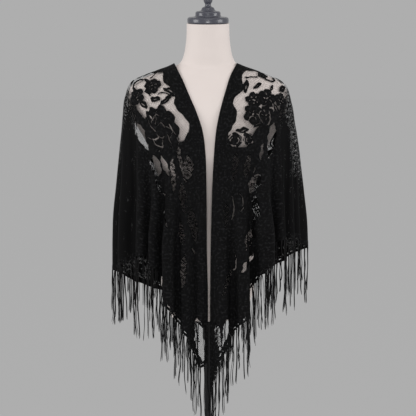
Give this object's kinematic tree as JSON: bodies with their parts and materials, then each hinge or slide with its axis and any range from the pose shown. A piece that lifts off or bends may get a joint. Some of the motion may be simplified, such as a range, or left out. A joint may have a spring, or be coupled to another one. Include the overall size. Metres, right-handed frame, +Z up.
{
  "type": "lace shawl on a dress form",
  "caption": "Black floral lace triangle shawl with a long fringe, worn open over the shoulders of a limbless cream dress form with a turned neck cap, on a round-based stand.",
  "frame": {"origin": "centre of the base's underside, on the floor", "axes": "+Z up along the stand, -Y out of the chest, +X to the right for someone who looks at the front"},
  "size_m": [0.488, 0.36, 1.4863],
  "materials": {
    "black_lace": "fine machine lace: dense satin-like motifs on a sheer net ground",
    "fringe_yarn": "soft knotted yarn",
    "cream_jersey": "smooth stretched jersey",
    "black_wood": "turned and lacquered, satin",
    "black_metal": "powder coat, satin"
  },
  "bodies": {
    "root": {"shawl_left_front": "black_lace", "shawl_back": "black_lace", "shawl_right_front": "black_lace", "fringe_left_front": "fringe_yarn", "fringe_left_back": "fringe_yarn", "fringe_right_front": "fringe_yarn", "fringe_right_back": "fringe_yarn", "dress_form": "cream_jersey", "neck_cap": "black_wood", "stand_sleeve": "black_metal", "stand_pole": "black_metal", "stand_base": "black_metal"}
  },
  "joints": []
}
